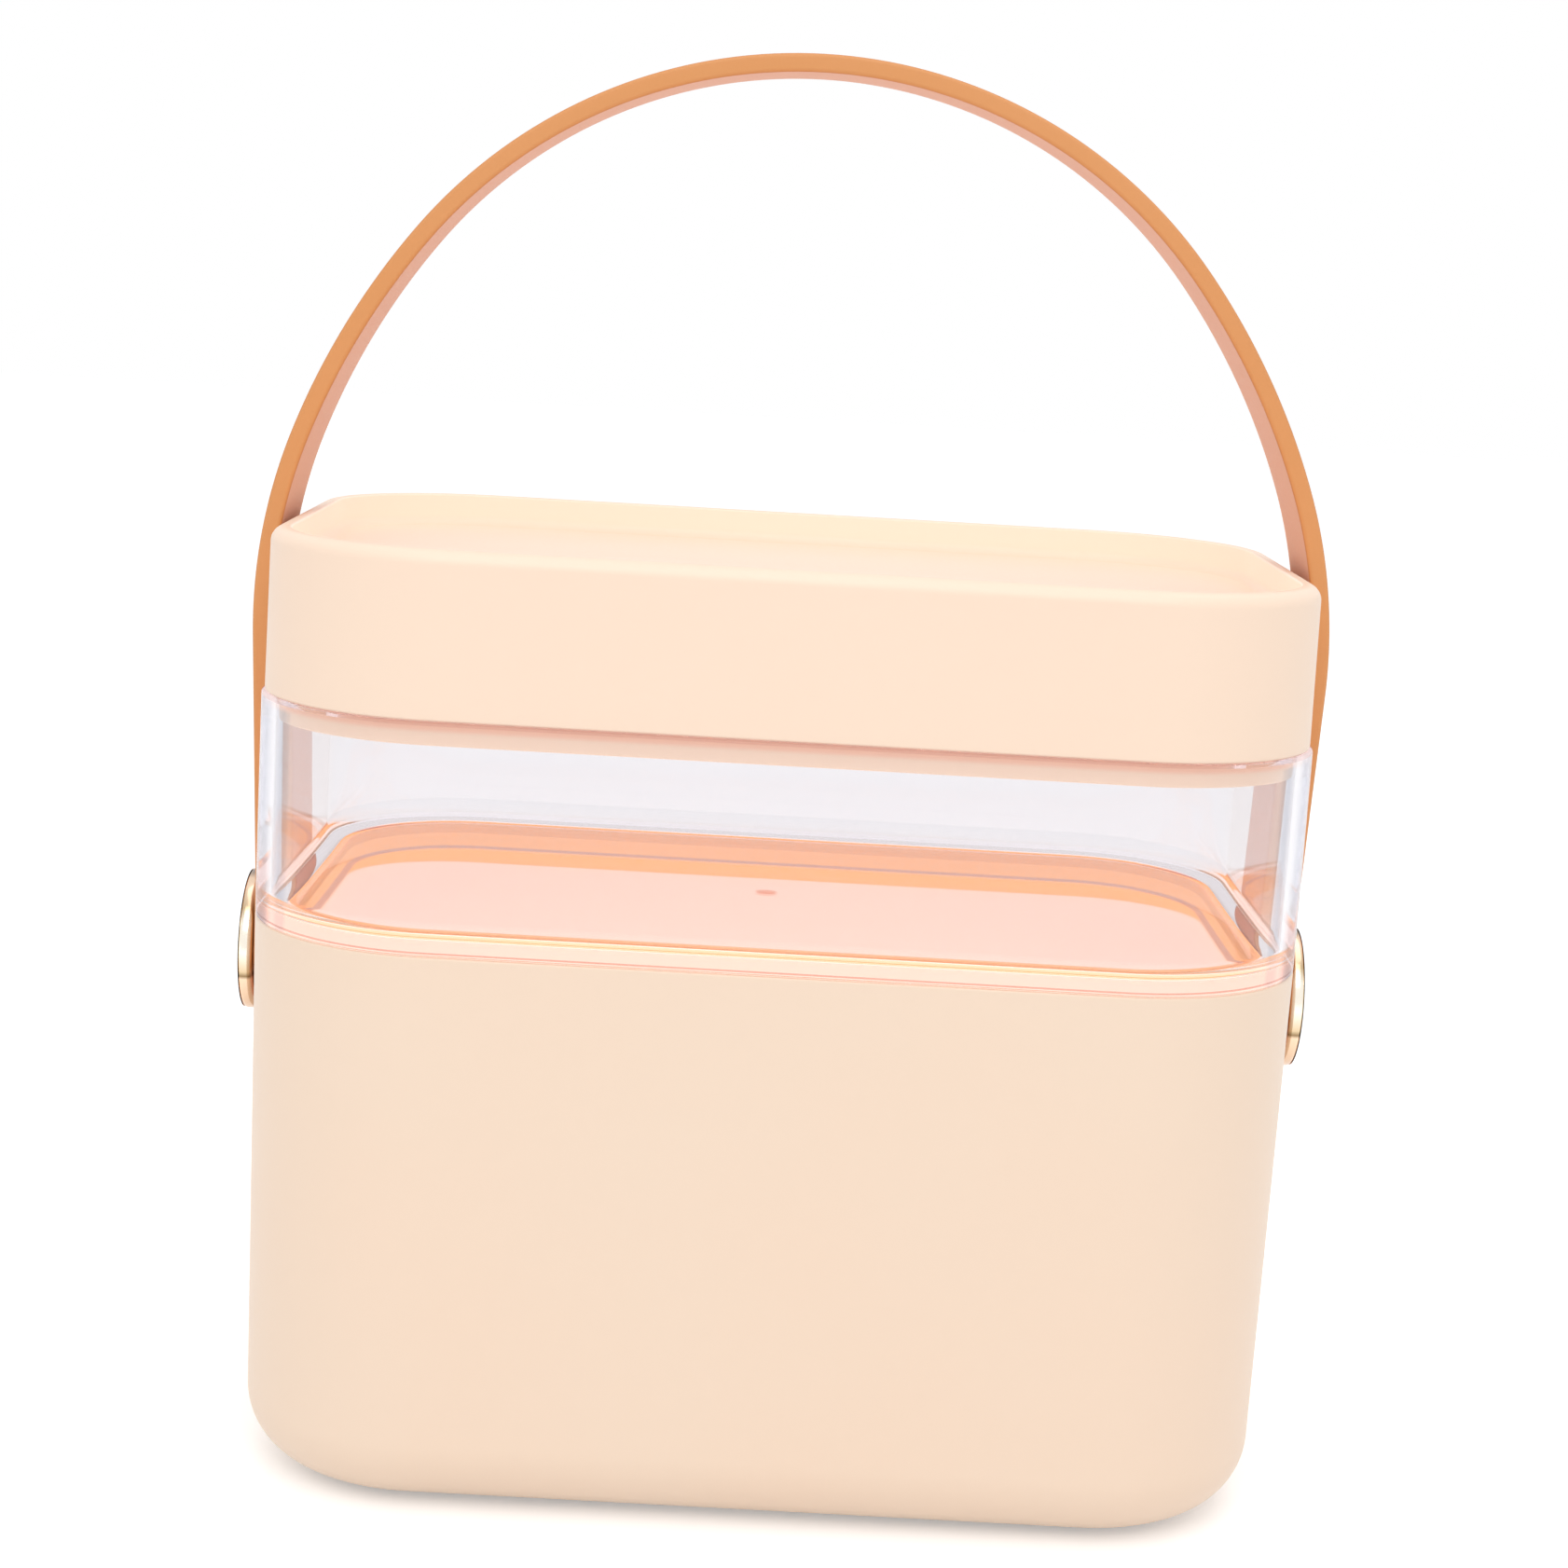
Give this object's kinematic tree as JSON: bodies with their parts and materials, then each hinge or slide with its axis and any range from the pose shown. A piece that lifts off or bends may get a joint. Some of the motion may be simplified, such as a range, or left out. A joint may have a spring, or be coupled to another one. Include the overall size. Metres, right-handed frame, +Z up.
{
  "type": "storage box",
  "caption": "Storage box for cosmetics or jewellery: an opaque bin with a shallow tray in its mouth, a clear tray on top, a cap lid with a dished top, and a strap handle that swings on studs.",
  "frame": {"origin": "on the table, under the middle of the box, at the bottom of the foot pads", "axes": "+Z up, +X to the right seen from the front, -Y towards the front; the handle's studs are on the X sides"},
  "size_m": [0.2148, 0.13, 0.2759],
  "materials": {
    "shell_plastic": "smooth satin cream",
    "tray_plastic": "smooth satin cream",
    "liner_plastic": "smooth satin cream",
    "clear_plastic": "clear polished",
    "strap_leather": "smooth tan leather with a cut edge",
    "stud_brass": "polished pale gold",
    "spacer_plastic": "plain",
    "screw_steel": "zinc plated",
    "pad_rubber": "soft matt"
  },
  "bodies": {
    "bin_body": {"bin": "shell_plastic", "pivot_cap_left": "stud_brass", "pivot_cap_right": "stud_brass", "strap_spacer_left": "spacer_plastic", "strap_spacer_right": "spacer_plastic", "pivot_screw_left": "screw_steel", "pivot_screw_right": "screw_steel", "screw_washer_left": "screw_steel", "screw_washer_right": "screw_steel", "foot_pad_1": "pad_rubber", "foot_pad_2": "pad_rubber", "foot_pad_3": "pad_rubber", "foot_pad_4": "pad_rubber"},
    "inner_tray_body": {"inner_tray": "tray_plastic"},
    "clear_tray_body": {"clear_tray": "clear_plastic"},
    "lid_body": {"lid_shell": "shell_plastic", "lid_liner": "liner_plastic"},
    "handle_body": {"handle_strap": "strap_leather"}
  },
  "joints": [
    {"name": "handle_swing", "type": "hinge", "parent": "bin_body", "child": "handle_body", "pos_m": [0, 0, 0.0954], "axis": [1, 0, 0], "range_deg": [-115, 115]},
    {"name": "inner_tray_lift", "type": "slide", "parent": "bin_body", "child": "inner_tray_body", "axis": [0, 0, 1], "range_m": [0, 0.0044]},
    {"name": "clear_tray_lift", "type": "slide", "parent": "inner_tray_body", "child": "clear_tray_body", "axis": [0, 0, 1], "range_m": [0, 0.0044]},
    {"name": "lid_lift", "type": "slide", "parent": "clear_tray_body", "child": "lid_body", "axis": [0, 0, 1], "range_m": [0, 0.0047]}
  ]
}
